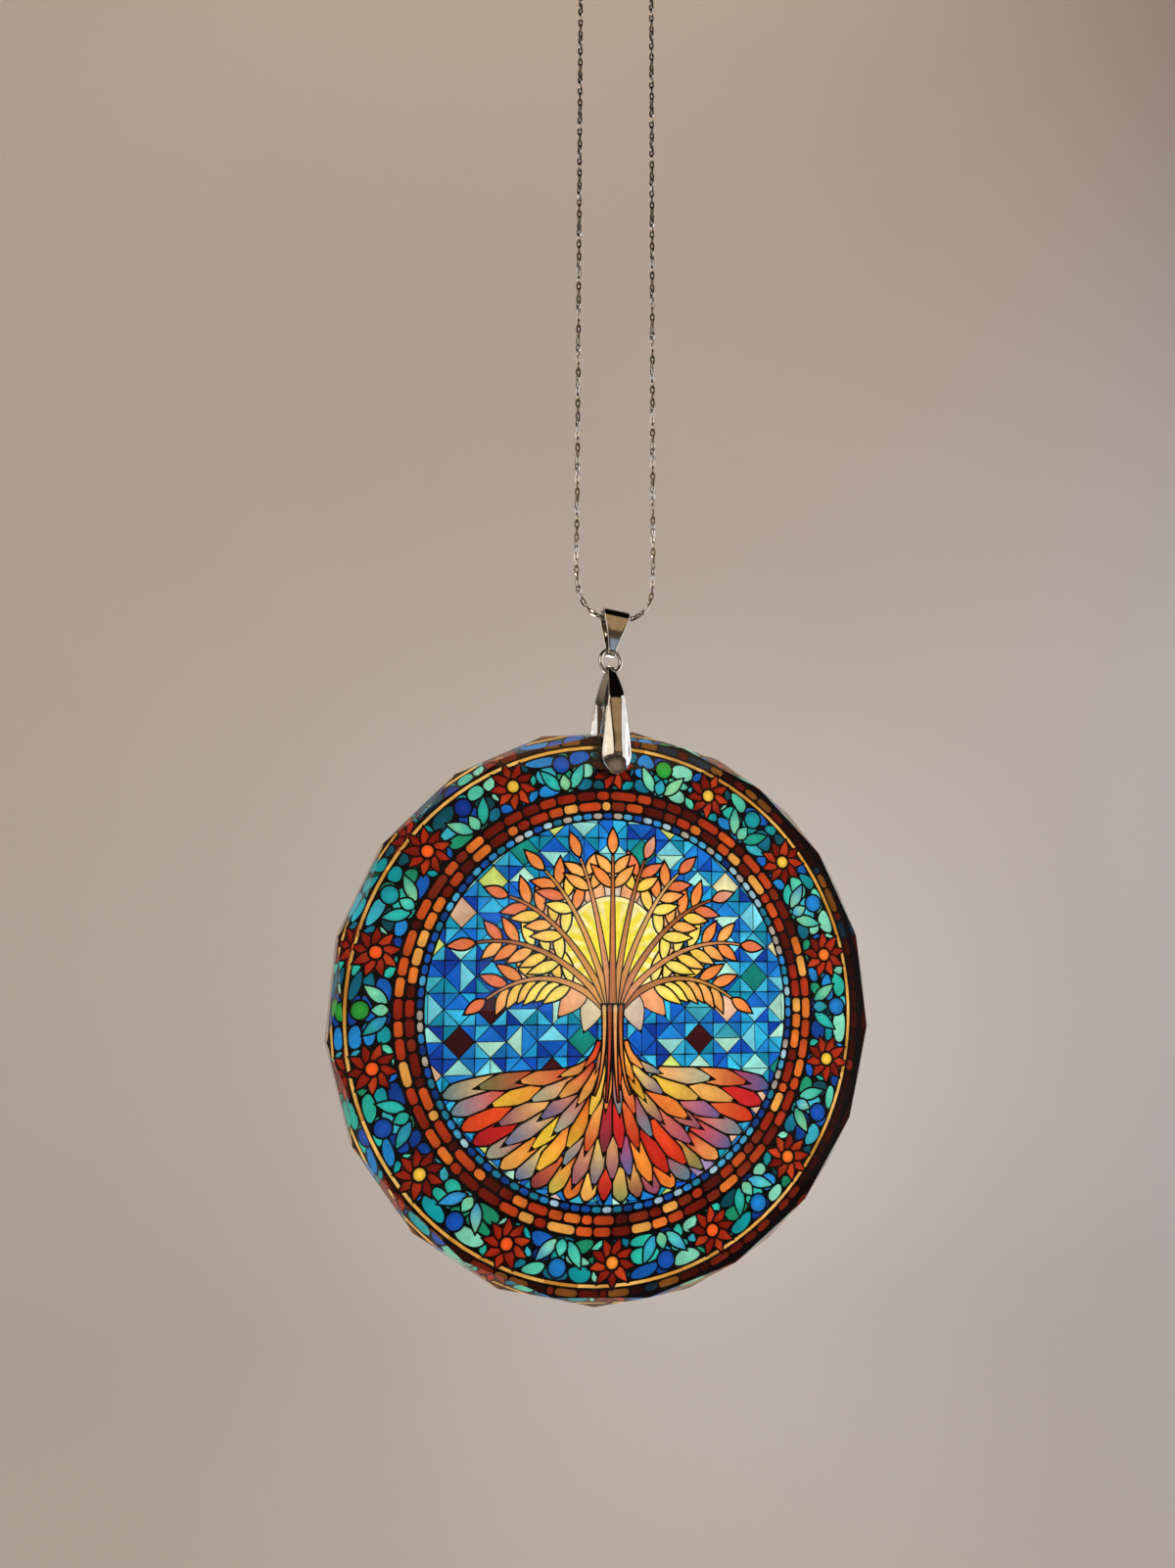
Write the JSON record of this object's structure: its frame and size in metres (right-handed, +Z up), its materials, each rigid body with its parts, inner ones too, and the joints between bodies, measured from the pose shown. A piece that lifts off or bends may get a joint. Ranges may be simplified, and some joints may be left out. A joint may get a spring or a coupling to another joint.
{
  "type": "crystal suncatcher",
  "caption": "Clear faceted crystal disc with a printed stained glass picture, hung by a polished pinch bail, ring and strap bail on a fine silver chain",
  "frame": {"origin": "the inside of the chain loop's top, where it hangs on a hook", "axes": "+X across the picture to the right seen from the front, +Y from the front face to the back face, +Z up along the chain"},
  "size_m": [0.0796, 0.0096, 0.2144],
  "materials": {
    "crystal": "polished",
    "chrome": "polished",
    "silver": "satin"
  },
  "bodies": {
    "root": {"crystal_disc": "crystal", "pinch_bail": "chrome", "jump_ring": "chrome", "strap_bail": "chrome", "chain": "silver"}
  },
  "joints": []
}
